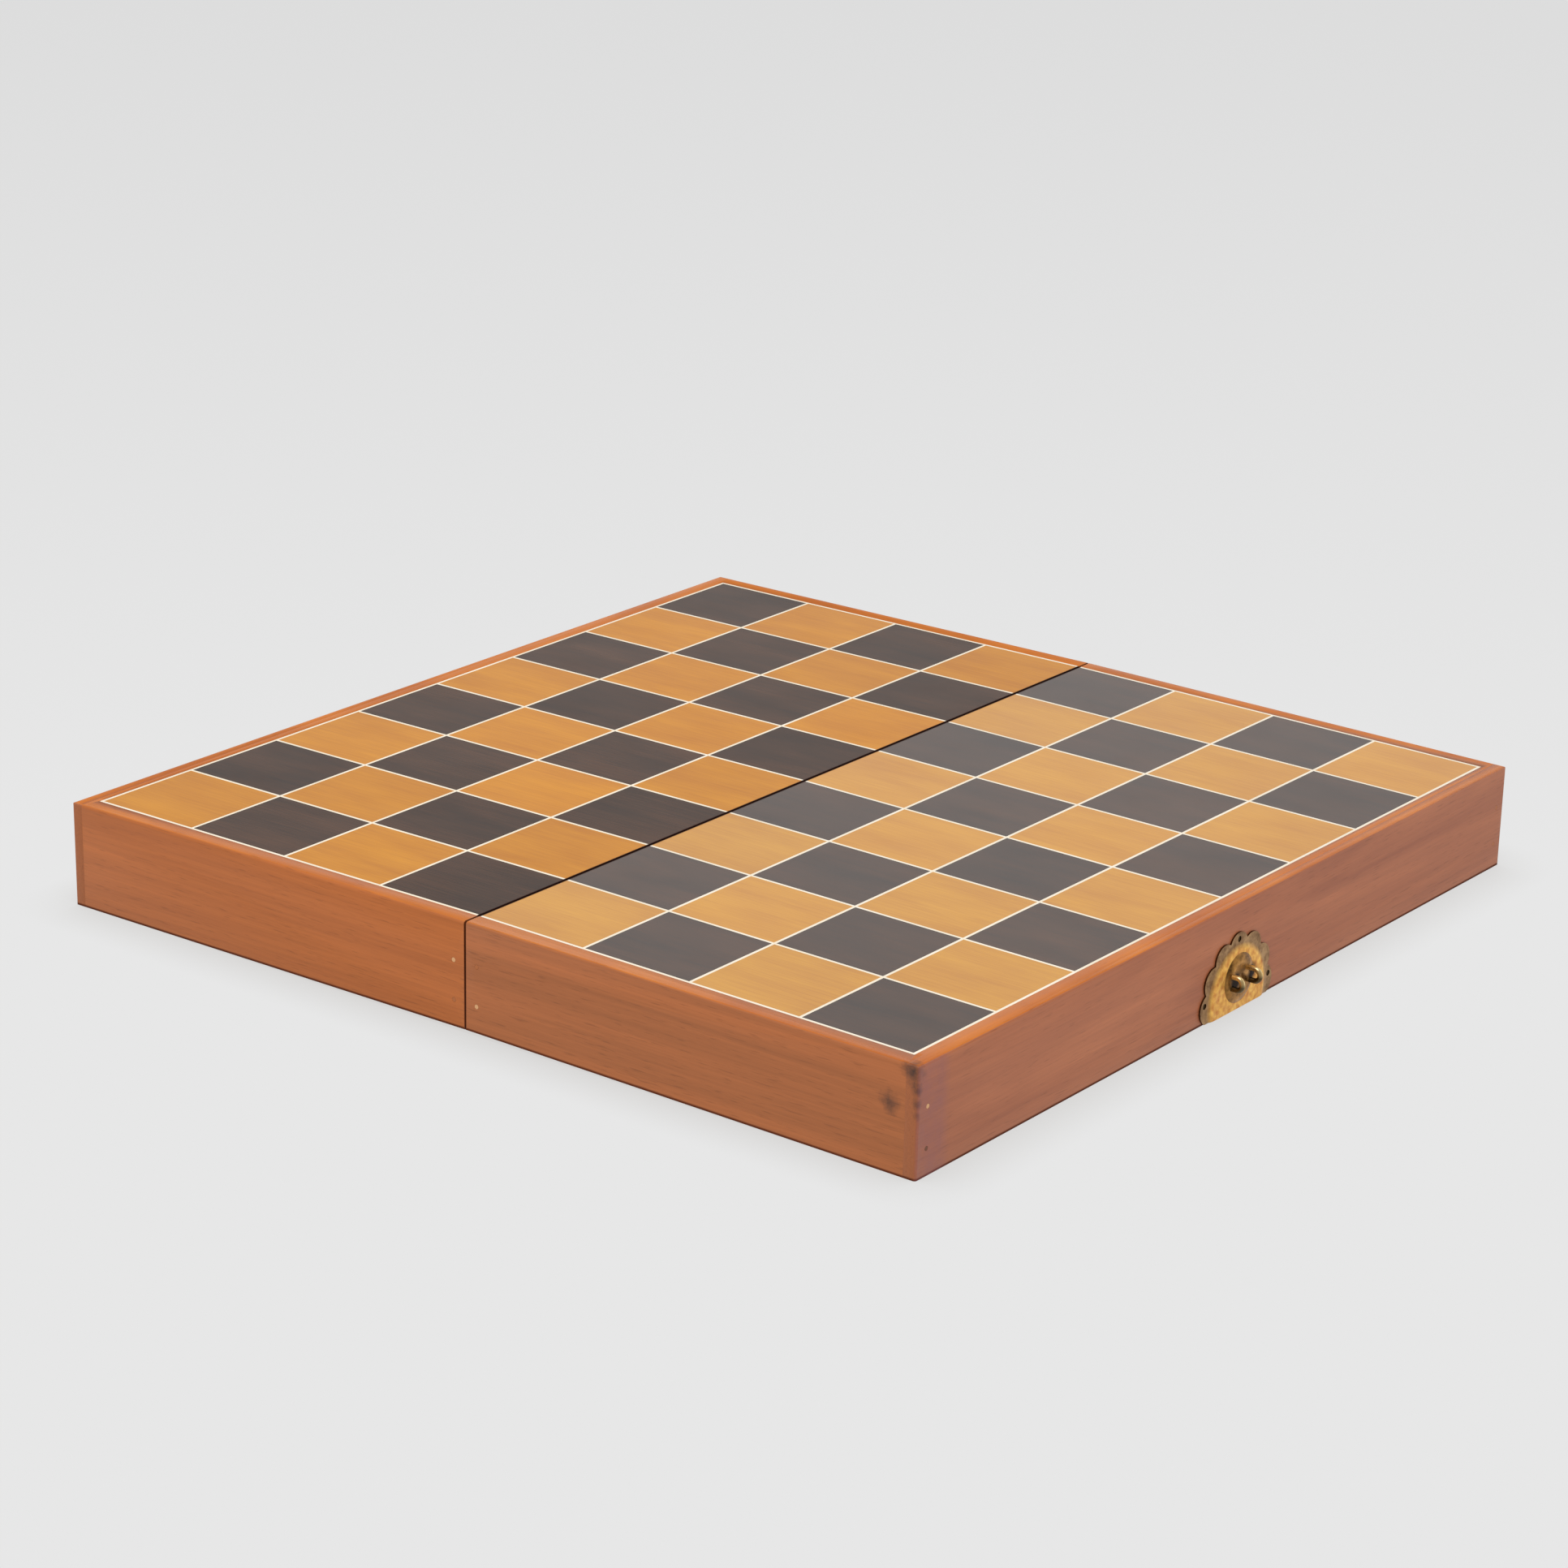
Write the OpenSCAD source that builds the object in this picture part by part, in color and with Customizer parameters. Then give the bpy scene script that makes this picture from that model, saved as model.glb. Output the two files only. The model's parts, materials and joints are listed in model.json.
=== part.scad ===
// Folding chess box with a hinged lid, standing open with its squares up.
// Two equal trays, rims down, are hinged along the middle of the board. The base carries the lock
// plate with its two staples. The lid carries the hasp that drops over them when the box is shut.
// Origin: on the table, below the middle of the hinge line. +X runs to the lock end of the base,
// +Y along the hinge line, +Z up. Each tray is drawn in its own frame: x away from the hinge pin,
// y along it, z from the pin's axis up to the squares. All sizes are in millimetres.

/* [Board] */
// Side of one playing square, from line middle to line middle
square = 42; // [36:1:60]
// Plain border, from the middle of the outer line to the edge
border_w = 7; // [5:0.5:15]
// Width of the inlaid lines
line_w = 1; // [0.6:0.1:2]
// Thickness of the squares and of the lines
veneer_t = 1; // [0.6:0.1:2]

/* [Trays] */
// Height of each tray, from rim to playing surface
tray_h = 36.5; // [34:0.5:60]
// Ledge inside the outer boards that the panel rests on
ledge_w = 1.5; // [1:0.5:5]
// Thickness of the end board's lip over the ends of the side boards
lip_t = 4.5; // [3:0.5:6]
// Thickness of the two boards that the hinges are let into
hinge_board_t = 9; // [9:0.5:14]
// Thickness of the panel under the squares
panel_t = 4; // [3:0.5:6]
// Rounding of the outer edges
edge_r = 1; // [0.4:0.1:3]

/* [Inside] */
// Thickness of the cloth lining
lining_t = 0.8; // [0.5:0.1:2]
// Thickness of the dividers
divider_t = 2.5; // [1.5:0.5:4]
// How far the dividers stay behind the rim
divider_back = 1; // [0.5:0.5:10]
// Length of the pawn compartments, on the hinge side
pawn_cell = 58.5; // [40:0.5:70]

/* [Corner pins] */
// Radius of the pins that hold the corners
corner_pin_r = 0.75; // [0.5:0.05:1.2]
// Length of the corner pins
corner_pin_len = 20; // [14:1:30]
// Height of the lower pins above the rim
corner_pin_low = 9; // [5:0.5:14]
// Height of the upper pins above the rim
corner_pin_high = 22.5; // [18:0.5:26]

/* [Hinges] */
// Distance of each hinge from the middle
hinge_y = 105; // [60:1:115]
// Length of a hinge
hinge_len = 32; // [24:1:50]
// Reach of a hinge leaf from the pin
leaf_w = 7; // [6:0.5:8]
// Thickness of a hinge leaf
leaf_t = 0.8; // [0.6:0.05:0.8]
// Radius of the knuckles
knuckle_r = 1; // [1:0.05:1.5]
// Radius of the hinge pin
hinge_pin_r = 0.5; // [0.4:0.05:0.6]
// Radius of the screw heads
screw_head_r = 1.5; // [1.2:0.1:1.8]
// Radius of the screw shanks
screw_r = 0.8; // [0.6:0.05:1]
// Length of the screws
screw_len = 8; // [5:0.5:12]

/* [Lock plates] */
// Radius of the rosette, to the tips of its lobes
rosette_r = 21.5; // [20:0.5:26]
// Radius of one lobe
lobe_r = 5.5; // [5:0.1:7]
// Height of the rosette's centre above the rim
rosette_rise = 5; // [3:0.5:6]
// Thickness of the plate at the lobes
plate_t = 0.6; // [0.5:0.1:1.5]
// How far the middle field stands above the lobes
field_t = 0.6; // [0.2:0.1:0.8]
// Radius of the middle field
field_r = 17; // [15:0.5:17.5]
// Width of the slope round the middle field
field_slope = 2.5; // [1:0.5:3]
// Radius of the plate nail shanks
nail_r = 0.6; // [0.4:0.05:0.8]
// Radius of the plate nail heads
nail_head_r = 0.95; // [0.85:0.05:1.2]
// Length of the plate nails
nail_len = 6.5; // [4:0.5:7]

/* [Staples] */
// Radius of the round boss under the staples
boss_r = 8.5; // [8:0.5:10]
// Thickness of the boss
boss_t = 1; // [0.8:0.1:2.5]
// Width of the slope round the boss
boss_slope = 3; // [1:0.5:4]
// Height of the boss and staples above the rim
boss_rise = 11; // [10:0.5:13]
// Radius of the staple wire
wire_r = 0.9; // [0.6:0.05:1.1]
// Inner width of a staple's eye
eye_w = 2.3; // [1.6:0.1:2.6]
// Distance between the two staples
staple_gap = 10.7; // [8:0.1:12]
// How far the staples stand out of the boss
staple_out = 4.6; // [4.4:0.1:7]
// How deep the staple legs go into the wood
staple_in = 7; // [4:0.5:7]

/* [Hasp] */
// Height of the hasp's axis above the rim
hasp_rise = 4; // [3:0.5:6]
// Radius of the hasp's knuckles
hasp_knuckle_r = 1.5; // [1.3:0.05:1.8]
// Radius of the hasp's pin
hasp_pin_r = 0.7; // [0.5:0.05:0.9]
// Thickness of the hasp
hasp_t = 1; // [0.7:0.1:1.2]
// Half the width of the hasp
hasp_r = 9; // [8.5:0.5:10]
// Length of the hasp's own knuckle
hasp_knuckle_len = 8; // [6:0.5:10]

/* [Fits] */
// Gap between the rims when the box is shut, and between the hinge boards at the pin
rim_gap = 0.3; // [0.2:0.05:0.8]
// Gap between pieces that pass each other
pass_gap = 0.3; // [0.3:0.05:0.5]
// Radial clearance of a pin in its hole
pin_gap = 0.05; // [0.03:0.01:0.1]
// Clearance round the staples in the slots of the hasp
slot_gap = 0.4; // [0.3:0.05:0.6]

/* [Hidden] */
$fn = 48;
overcut = 1;
ranks = 8;
files = 4;
sides = [-1, 1];

// Plan of one tray
tray_w = files * square + border_w;
board_t = border_w + ledge_w;
panel_edge = files * square + line_w / 2;
seam_x = rim_gap / 2;
inner_x = seam_x + hinge_board_t;
outer_x = tray_w - board_t;
inner_y = tray_w - board_t;

end_pin_y = tray_w - 0.6 * board_t;

// Levels of one tray, from the axis of the hinge pin
rim_z = rim_gap / 2;
top_z = rim_z + tray_h;
veneer_z = top_z - veneer_t;
panel_z = veneer_z - panel_t;
lining_z = panel_z - lining_t;
divider_z = rim_z + divider_back;

// The knuckles and the far rims touch the table together, so each open tray leans by this angle
lean = asin(knuckle_r / norm([tray_w, rim_z])) + atan(rim_z / tray_w);

// Compartments: one for each piece, pawns on the hinge side
long_x = inner_x + pawn_cell;
cell_pitch = (2 * inner_y + divider_t) / ranks;

// Hinges
knuckle_pitch = (hinge_len + pass_gap) / 3;
knuckle_len = knuckle_pitch - pass_gap;
pin_head_t = 0.5;
pin_head_lip = 0.25;
leaf_x = knuckle_r + pass_gap;
screw_x = (leaf_x + leaf_w) / 2;
screw_pitch = hinge_len / 3;
screw_point = 2;
sink_t = 0.6 * leaf_t;

// Lock plates, outwards from the end board
lobes = 12;
plate_edge = 0.2;
plate_top = plate_t + field_t;
boss_top = plate_top + boss_t;
nail_seat = rosette_r - 2.3;
nail_angles = [5, 90, 175];
nail_sink = 0.3;
nail_head_t = plate_t - nail_sink;

// Staples
bend_r = eye_w / 2 + wire_r;
staple_h = 2 * (bend_r + wire_r);
bend_out = boss_top + staple_out - staple_h / 2;

// Hasp, measured from its own pin
hasp_out = pass_gap + max(plate_top + hasp_knuckle_r, boss_top + hasp_t / 2);
hasp_reach = hasp_rise + rim_gap + boss_rise;
hasp_end = hasp_reach + hasp_r;
hasp_start = hasp_knuckle_r + pass_gap;
hasp_side_len = hasp_r - hasp_knuckle_len / 2 - pass_gap;
hasp_side_x = hasp_r - hasp_side_len / 2;
slot_near = hasp_reach - staple_h / 2 - slot_gap;
slot_far = norm([hasp_reach, bend_out - hasp_out]) + staple_h / 2 + slot_gap;
slot_r = wire_r + slot_gap;
hasp_web = hasp_knuckle_r;

// The tip of the open hasp stays just clear of the table
hasp_pin_z = knuckle_r - (tray_w + hasp_out) * sin(lean) + (rim_z + hasp_rise) * cos(lean);
hasp_drop = asin((hasp_pin_z - hasp_t / 2 - pass_gap) / hasp_end) - lean;

// Colours
board_wood = "#AE6B45";
panel_wood = "#C9A06A";
light_wood = "#D79A3A";
dark_wood = "#40302A";
inlay = "#F2EADD";
cloth = "#3F5B49";
divider_wood = "#B98A5A";
pin_wood = "#D6AD78";
old_brass = "#B08D4C";
bright_brass = "#C9A24F";
nail_metal = "#8C7A5A";

// ---- Where things stand ----

// The right tray, leaning from the raised hinge pin down to its far rim
module in_base() {
    translate([0, 0, knuckle_r]) rotate([0, lean, 0]) children();
}

// The left tray is the same one turned half round
module in_lid() {
    rotate([0, 0, 180]) in_base() children();
}

// On the outer face of the end board: x along the hinge line, y up from the rim, z outwards
module on_end_face() {
    translate([tray_w, 0, rim_z]) rotate([90, 0, 90]) children();
}

// The places of the two hinges
module at_hinges() {
    for (side = sides) translate([0, side * hinge_y, 0]) children();
}

// The places of the three screws of each hinge leaf, at the rim
module at_hinge_screws() {
    at_hinges() for (i = [-1:1]) translate([screw_x, i * screw_pitch, rim_z]) children();
}

// The places of the nails of a lock plate, on the plate's back
module at_plate_nails() {
    for (a = nail_angles)
        translate([nail_seat * cos(a), rosette_rise + nail_seat * sin(a), 0]) children();
}

// The places of the four staple legs, on the wood
module at_staple_legs() {
    for (side = sides, leg = sides)
        translate([side * staple_gap / 2, boss_rise + leg * bend_r, 0]) children();
}

// A box between two corners
module between(lo, hi) {
    translate(lo) cube(hi - lo);
}

// ---- Boards ----

// A rectangle between two corners, rounded at the corners that the list names by their signs
module rounded_rect(lo, hi, corners) {
    difference() {
        translate(lo) square(hi - lo);
        for (c = corners)
            translate([c.x > 0 ? hi.x : lo.x, c.y > 0 ? hi.y : lo.y])
                square(2 * edge_r, center = true);
    }
    for (c = corners)
        translate([c.x > 0 ? hi.x - edge_r : lo.x + edge_r, c.y > 0 ? hi.y - edge_r : lo.y + edge_r])
            circle(edge_r);
}

// The outside of a tray, with rounded top edges and rounded far corners
module tray_block() {
    intersection() {
        linear_extrude(top_z + overcut)
            rounded_rect([0, -tray_w], [tray_w, tray_w], [[1, -1], [1, 1]]);
        translate([0, tray_w, 0]) rotate([90, 0, 0])
            linear_extrude(2 * tray_w) rounded_rect([0, 0], [tray_w, top_z], [[1, 1]]);
        rotate([90, 0, 90])
            linear_extrude(tray_w) rounded_rect([-tray_w, 0], [tray_w, top_z], [[-1, 1], [1, 1]]);
    }
}

// A board cut from that block, with the rebate that the panel lies in and the holes of the pins
module outer_board() {
    difference() {
        intersection() {
            tray_block();
            children();
        }
        between([0, -panel_edge, panel_z], [panel_edge, panel_edge, top_z + overcut]);
        corner_pin_set(corner_pin_r + pin_gap, corner_pin_len + pin_gap, overcut);
    }
}

// Wooden pins at the four corners of a tray, two above each other
module corner_pin_set(r, len, proud) {
    for (side = sides, h = [corner_pin_low, corner_pin_high]) {
        translate([seam_x + hinge_board_t / 2, side * (tray_w + proud), rim_z + h])
            rotate([side * 90, 0, 0]) cylinder(r = r, h = len + proud);
        translate([tray_w + proud, side * end_pin_y, rim_z + h])
            rotate([0, -90, 0]) cylinder(r = r, h = len + proud);
    }
}

// The room of a side board, from the seam to the lip of the end board
module side_room(side, over) {
    faces = [side * inner_y, side * (tray_w + over)];
    between([seam_x, min(faces), rim_z - over], [tray_w - lip_t, max(faces), top_z + over]);
}

module end_board(with_staples) {
    color(board_wood) difference() {
        outer_board() between([outer_x, -tray_w, rim_z], [tray_w, tray_w, top_z]);
        for (side = sides) side_room(side, overcut);
        on_end_face() {
            at_plate_nails() drill(nail_r + pin_gap, nail_len);
            if (with_staples) at_staple_legs() drill(wire_r + pin_gap, staple_in);
        }
    }
}

// A blind hole into the wood behind the end face, a little deeper than what goes in
module drill(r, deep) {
    translate([0, 0, -deep - pin_gap]) cylinder(r = r, h = deep + pin_gap + overcut);
}

// A hole right through a plate that lies on z = 0
module pierce(r, thick) {
    translate([0, 0, -overcut]) cylinder(r = r, h = thick + 2 * overcut);
}

module side_board(side) {
    color(board_wood) outer_board() side_room(side, 0);
}

module hinge_board() {
    color(board_wood) difference() {
        between([seam_x, -inner_y, rim_z], [inner_x, inner_y, panel_z]);
        corner_pin_set(corner_pin_r + pin_gap, corner_pin_len + pin_gap, overcut);
        at_hinges() {
            // seat of the leaf
            between([0, -hinge_len / 2 - pass_gap, 0],
                    [leaf_w + pass_gap, hinge_len / 2 + pass_gap, rim_z + leaf_t]);
            // hollow round the knuckles and the pin's heads
            lying_rod(knuckle_r + pass_gap, hinge_len + 2 * (pin_head_t + pass_gap));
        }
        at_hinge_screws() cylinder(r = screw_r + pin_gap, h = screw_len + pin_gap);
    }
}

// A cylinder along the hinge line
module lying_rod(r, len) {
    rotate([90, 0, 0]) cylinder(r = r, h = len, center = true);
}

// ---- Panel and squares ----

module panel() {
    color(panel_wood)
        between([seam_x, -panel_edge, panel_z], [panel_edge, panel_edge, veneer_z]);
}

// The squares of one colour: parity 0 for the light ones, 1 for the dark ones
module squares(parity, shade) {
    color(shade)
        for (file = [0:files - 1], rank = [-ranks / 2:ranks / 2 - 1])
            if (abs(file + rank) % 2 == parity) {
                near = file == 0 ? seam_x : file * square + line_w / 2;
                between([near, rank * square + line_w / 2, veneer_z],
                        [(file + 1) * square - line_w / 2, (rank + 1) * square - line_w / 2, top_z]);
            }
}

// The inlaid lines, one lattice round three sides and between the squares
module lines() {
    color(inlay) {
        for (file = [1:files])
            between([file * square - line_w / 2, -panel_edge, veneer_z],
                    [file * square + line_w / 2, panel_edge, top_z]);
        for (rank = [-ranks / 2:ranks / 2])
            between([seam_x, rank * square - line_w / 2, veneer_z],
                    [panel_edge, rank * square + line_w / 2, top_z]);
    }
}

// ---- Inside ----

module lining() {
    color(cloth) between([inner_x, -inner_y, lining_z], [outer_x, inner_y, panel_z]);
}

module long_divider() {
    color(divider_wood)
        between([long_x, -inner_y, divider_z], [long_x + divider_t, inner_y, lining_z]);
}

// The cross dividers between two x positions
module cross_dividers(x0, x1) {
    color(divider_wood)
        for (i = [1:ranks - 1])
            translate([0, i * cell_pitch - inner_y - divider_t, 0])
                between([x0, 0, divider_z], [x1, divider_t, lining_z]);
}

module piece_dividers() {
    cross_dividers(long_x + divider_t, outer_x);
}

module pawn_dividers() {
    cross_dividers(inner_x, long_x);
}

// ---- Fastenings of the trays ----

module corner_pins() {
    color(pin_wood) corner_pin_set(corner_pin_r, corner_pin_len, 0);
}

// Hinge leaves with the knuckles that the list names: -1 and 1 for the ends, 0 for the middle
module hinge_leaves(knuckles) {
    color(old_brass) difference() {
        at_hinges() difference() {
            union() {
                between([leaf_x, -hinge_len / 2, rim_z], [leaf_w, hinge_len / 2, rim_z + leaf_t]);
                for (k = knuckles) translate([0, k * knuckle_pitch, 0]) {
                    lying_rod(knuckle_r, knuckle_len);
                    between([0, -knuckle_len / 2, rim_z],
                            [leaf_x + leaf_t, knuckle_len / 2, rim_z + leaf_t]);
                }
            }
            lying_rod(hinge_pin_r + pin_gap, hinge_len + overcut);
        }
        at_hinge_screws() {
            pierce(screw_r + pin_gap, leaf_t);
            cylinder(r1 = screw_head_r + pin_gap, r2 = screw_r + pin_gap, h = sink_t);
        }
    }
}

module hinge_pin_pair() {
    color(nail_metal) at_hinges() {
        lying_rod(hinge_pin_r, hinge_len + 2 * pin_gap);
        for (side = sides)
            translate([0, side * ((hinge_len + pin_head_t) / 2 + pin_gap), 0])
                lying_rod(hinge_pin_r + pin_head_lip, pin_head_t);
    }
}

module hinge_screws() {
    color(bright_brass) at_hinge_screws()
        rotate_extrude()
            polygon([[0, 0], [screw_head_r, 0], [screw_r, sink_t],
                     [screw_r, screw_len - screw_point], [0, screw_len]]);
}

// ---- Lock plates ----

// Outline of a rosette, a ring of lobes
module rosette() {
    circle(rosette_r - lobe_r);
    for (i = [0:lobes - 1])
        rotate(i * 360 / lobes) translate([rosette_r - lobe_r, 0]) circle(lobe_r);
}

// A low round body with a flat top, whose shoulder curves down over the width of the slope
module shouldered(r, slope, h) {
    curve_r = (slope * slope + h * h) / (2 * h);
    rotate_extrude() intersection() {
        square([r, h]);
        union() {
            square([r - slope, h]);
            translate([r - slope, h - curve_r]) circle(curve_r);
        }
    }
}

// A rosette with its raised field, cut off at the rim, and its three nail holes
module rosette_plate() {
    difference() {
        intersection() {
            translate([0, rosette_rise, 0]) {
                linear_extrude(plate_t) rosette();
                translate([0, 0, plate_t]) shouldered(field_r, field_slope, field_t);
            }
            between([-rosette_r, plate_edge, 0], [rosette_r, rosette_rise + rosette_r, plate_top]);
        }
        at_plate_nails() {
            pierce(nail_r + pin_gap, plate_top);
            translate([0, 0, -pin_gap])
                cylinder(r = nail_head_r + pin_gap, h = plate_top + overcut);
        }
    }
}

module lock_plate() {
    color(old_brass) on_end_face() difference() {
        rosette_plate();
        at_staple_legs() pierce(wire_r + pin_gap, plate_top);
    }
}

module lock_boss() {
    color(old_brass) on_end_face() difference() {
        translate([0, boss_rise, plate_top]) shouldered(boss_r, boss_slope, boss_t);
        at_staple_legs() pierce(wire_r + pin_gap, boss_top);
    }
}

// Nails flush behind the face of the lobes, so each shows as a small dark dimple
module plate_nails() {
    color(nail_metal) on_end_face() at_plate_nails() {
        translate([0, 0, -nail_len]) cylinder(r = nail_r, h = nail_len + nail_head_t);
        cylinder(r = nail_head_r, h = nail_head_t);
    }
}

// Two hairpin staples of round wire, whose eyes take a lock pin along the hinge line
module staples() {
    color(bright_brass) on_end_face() {
        at_staple_legs() translate([0, 0, -staple_in])
            cylinder(r = wire_r, h = staple_in + bend_out);
        for (side = sides)
            translate([side * staple_gap / 2, boss_rise, bend_out]) rotate([90, 0, 90])
                rotate_extrude(angle = 180) translate([bend_r, 0]) circle(wire_r);
    }
}

// ---- Hasp ----

// The frame of the hasp's pin, on the face of the lid's end board
module at_hasp_pin() {
    on_end_face() translate([0, hasp_rise, hasp_out]) children();
}

// A cylinder along the hasp's pin
module cross_rod(r, len) {
    rotate([0, 90, 0]) cylinder(r = r, h = len, center = true);
}

module hasp_plate() {
    color(old_brass) difference() {
        union() {
            on_end_face() rosette_plate();
            at_hasp_pin() for (side = sides) translate([side * hasp_side_x, 0, 0]) {
                cross_rod(hasp_knuckle_r, hasp_side_len);
                between([-hasp_side_len / 2, -hasp_web / 2, -hasp_out + plate_t],
                        [hasp_side_len / 2, hasp_web / 2, 0]);
            }
        }
        at_hasp_pin() cross_rod(hasp_pin_r + pin_gap, 2 * hasp_r + overcut);
    }
}

module hasp_pin() {
    color(nail_metal) at_hasp_pin() {
        cross_rod(hasp_pin_r, 2 * (hasp_r + pin_gap));
        for (side = sides)
            translate([side * (hasp_r + pin_gap + pin_head_t / 2), 0, 0])
                cross_rod(hasp_pin_r + pin_head_lip, pin_head_t);
    }
}

// Outline of the hasp from its pin, with the slots for the staples
module hasp_outline() {
    difference() {
        union() {
            translate([-hasp_r, hasp_start]) square([2 * hasp_r, hasp_reach - hasp_start]);
            translate([-hasp_knuckle_len / 2, 0]) square([hasp_knuckle_len, hasp_reach]);
            translate([0, hasp_reach]) circle(hasp_r);
        }
        for (side = sides) translate([side * staple_gap / 2, 0]) {
            translate([-slot_r, slot_near + slot_r])
                square([2 * slot_r, slot_far - slot_near - 2 * slot_r]);
            for (end = [slot_near + slot_r, slot_far - slot_r]) translate([0, end]) circle(slot_r);
        }
    }
}

// Swung outwards and down, as it lies beside the open box
module hasp() {
    color(old_brass) at_hasp_pin() rotate([hasp_drop - 90, 0, 0]) rotate([0, 0, 180])
        difference() {
            union() {
                linear_extrude(hasp_t, center = true) hasp_outline();
                cross_rod(hasp_knuckle_r, hasp_knuckle_len);
            }
            cross_rod(hasp_pin_r + pin_gap, hasp_knuckle_len + overcut);
        }
}

// ---- Assembly ----

in_base() end_board(true);  // base_end_board
in_base() side_board(-1);  // base_front_board
in_base() side_board(1);  // base_back_board
in_base() hinge_board();  // base_hinge_board
in_base() panel();  // base_panel
in_base() squares(0, light_wood);  // base_light_squares
in_base() squares(1, dark_wood);  // base_dark_squares
in_base() lines();  // base_lines
in_base() lining();  // base_lining
in_base() long_divider();  // base_long_divider
in_base() piece_dividers();  // base_piece_dividers
in_base() pawn_dividers();  // base_pawn_dividers
in_base() corner_pins();  // base_corner_pins
in_base() hinge_leaves(sides);  // base_hinge_leaves
in_base() hinge_screws();  // base_hinge_screws
in_base() hinge_pin_pair();  // hinge_pins
in_base() lock_plate();
in_base() plate_nails();  // lock_plate_nails
in_base() lock_boss();
in_base() staples();  // lock_staples

in_lid() end_board(false);  // lid_end_board
in_lid() side_board(1);  // lid_front_board
in_lid() side_board(-1);  // lid_back_board
in_lid() hinge_board();  // lid_hinge_board
in_lid() panel();  // lid_panel
in_lid() squares(0, light_wood);  // lid_light_squares
in_lid() squares(1, dark_wood);  // lid_dark_squares
in_lid() lines();  // lid_lines
in_lid() lining();  // lid_lining
in_lid() long_divider();  // lid_long_divider
in_lid() piece_dividers();  // lid_piece_dividers
in_lid() pawn_dividers();  // lid_pawn_dividers
in_lid() corner_pins();  // lid_corner_pins
in_lid() hinge_leaves([0]);  // lid_hinge_leaves
in_lid() hinge_screws();  // lid_hinge_screws
in_lid() hasp_plate();
in_lid() plate_nails();  // hasp_plate_nails
in_lid() hasp_pin();
in_lid() hasp();
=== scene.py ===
"""The looks of a folding chess box with a hinged lid, standing open with its squares up.

The rigid pieces come from the frame. Each section below follows one piece, or a group of like
pieces, in the order in which the box is put together. Lengths are in metres.
"""

import json
import math

import bmesh
import bpy
from mathutils import Matrix, Quaternion, Vector

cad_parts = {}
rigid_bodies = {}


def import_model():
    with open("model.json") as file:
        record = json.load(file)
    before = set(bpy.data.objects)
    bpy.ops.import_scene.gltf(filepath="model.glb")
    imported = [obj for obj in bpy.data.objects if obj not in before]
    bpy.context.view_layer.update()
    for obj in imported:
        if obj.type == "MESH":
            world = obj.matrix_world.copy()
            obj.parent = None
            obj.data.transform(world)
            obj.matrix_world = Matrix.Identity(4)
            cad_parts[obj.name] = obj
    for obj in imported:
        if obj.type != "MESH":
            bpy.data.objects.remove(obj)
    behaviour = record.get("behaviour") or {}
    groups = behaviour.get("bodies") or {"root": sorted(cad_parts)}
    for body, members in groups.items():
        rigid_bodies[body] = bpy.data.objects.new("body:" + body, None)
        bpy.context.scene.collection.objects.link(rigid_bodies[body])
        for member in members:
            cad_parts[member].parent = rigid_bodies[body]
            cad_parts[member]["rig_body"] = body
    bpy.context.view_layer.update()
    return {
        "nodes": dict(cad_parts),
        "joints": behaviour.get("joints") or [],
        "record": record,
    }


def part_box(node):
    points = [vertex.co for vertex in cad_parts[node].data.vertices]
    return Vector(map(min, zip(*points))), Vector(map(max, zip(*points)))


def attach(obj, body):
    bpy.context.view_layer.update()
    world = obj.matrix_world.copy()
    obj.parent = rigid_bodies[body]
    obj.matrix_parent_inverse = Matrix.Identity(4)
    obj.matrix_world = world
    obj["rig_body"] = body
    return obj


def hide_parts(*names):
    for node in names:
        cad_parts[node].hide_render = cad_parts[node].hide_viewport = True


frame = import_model()
mm = 0.001


# ---- Camera ----
# A long lens at table height looks across the near corner of the board, a little over one and a
# half metres away. The place and aim were worked out from the board's own lines.

camera_place = Vector((0.8512, -1.1339, 0.535))
camera_aim = Vector((-0.0679, 0.078, 0.0))
camera_roll = math.radians(1.17)
lens = 100.8
film_width = 36.0
nearest_seen, farthest_seen = 0.05, 20

camera = bpy.data.objects.new("camera", bpy.data.cameras.new("camera"))
bpy.context.scene.collection.objects.link(camera)
camera.data.lens = lens
camera.data.sensor_width = film_width
camera.data.clip_start = nearest_seen
camera.data.clip_end = farthest_seen
camera.location = camera_place
camera.rotation_mode = "QUATERNION"
camera.rotation_quaternion = (camera_aim - camera_place).to_track_quat("-Z", "Y") @ Quaternion(
    (0, 0, 1), camera_roll)
bpy.context.scene.camera = camera
bpy.context.scene.view_settings.view_transform = "Standard"


# ---- Studio ----
# A seamless pale studio. The backdrop is what the camera and the gloss see behind the box, a little
# darker higher up, and the room in front is dimmer. A softer level and one wide lamp light the box.

backdrop_colour = "#E7E7E7"
backdrop_high_colour = "#DDDDDD"
high_slope, low_slope = -0.16, -0.34
backdrop_way = Vector((-0.57, 0.75, -0.33))
backdrop_fade = {"From Min": -0.75, "From Max": 0.35}
room_colour = "#8E8B88"
sky_colour = "#FFFDFA"
sky_level = 0.86
lamp_place = Vector((0.2, -0.9, 1.9))
lamp_width = 1.4
lamp_power = 16.0


def linear(colour):
    """An sRGB hex colour as the linear RGBA that shaders take."""
    parts = [int(colour[i:i + 2], 16) / 255 for i in (1, 3, 5)]
    return (*[p / 12.92 if p <= 0.04045 else ((p + 0.055) / 1.055) ** 2.4 for p in parts], 1.0)


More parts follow.
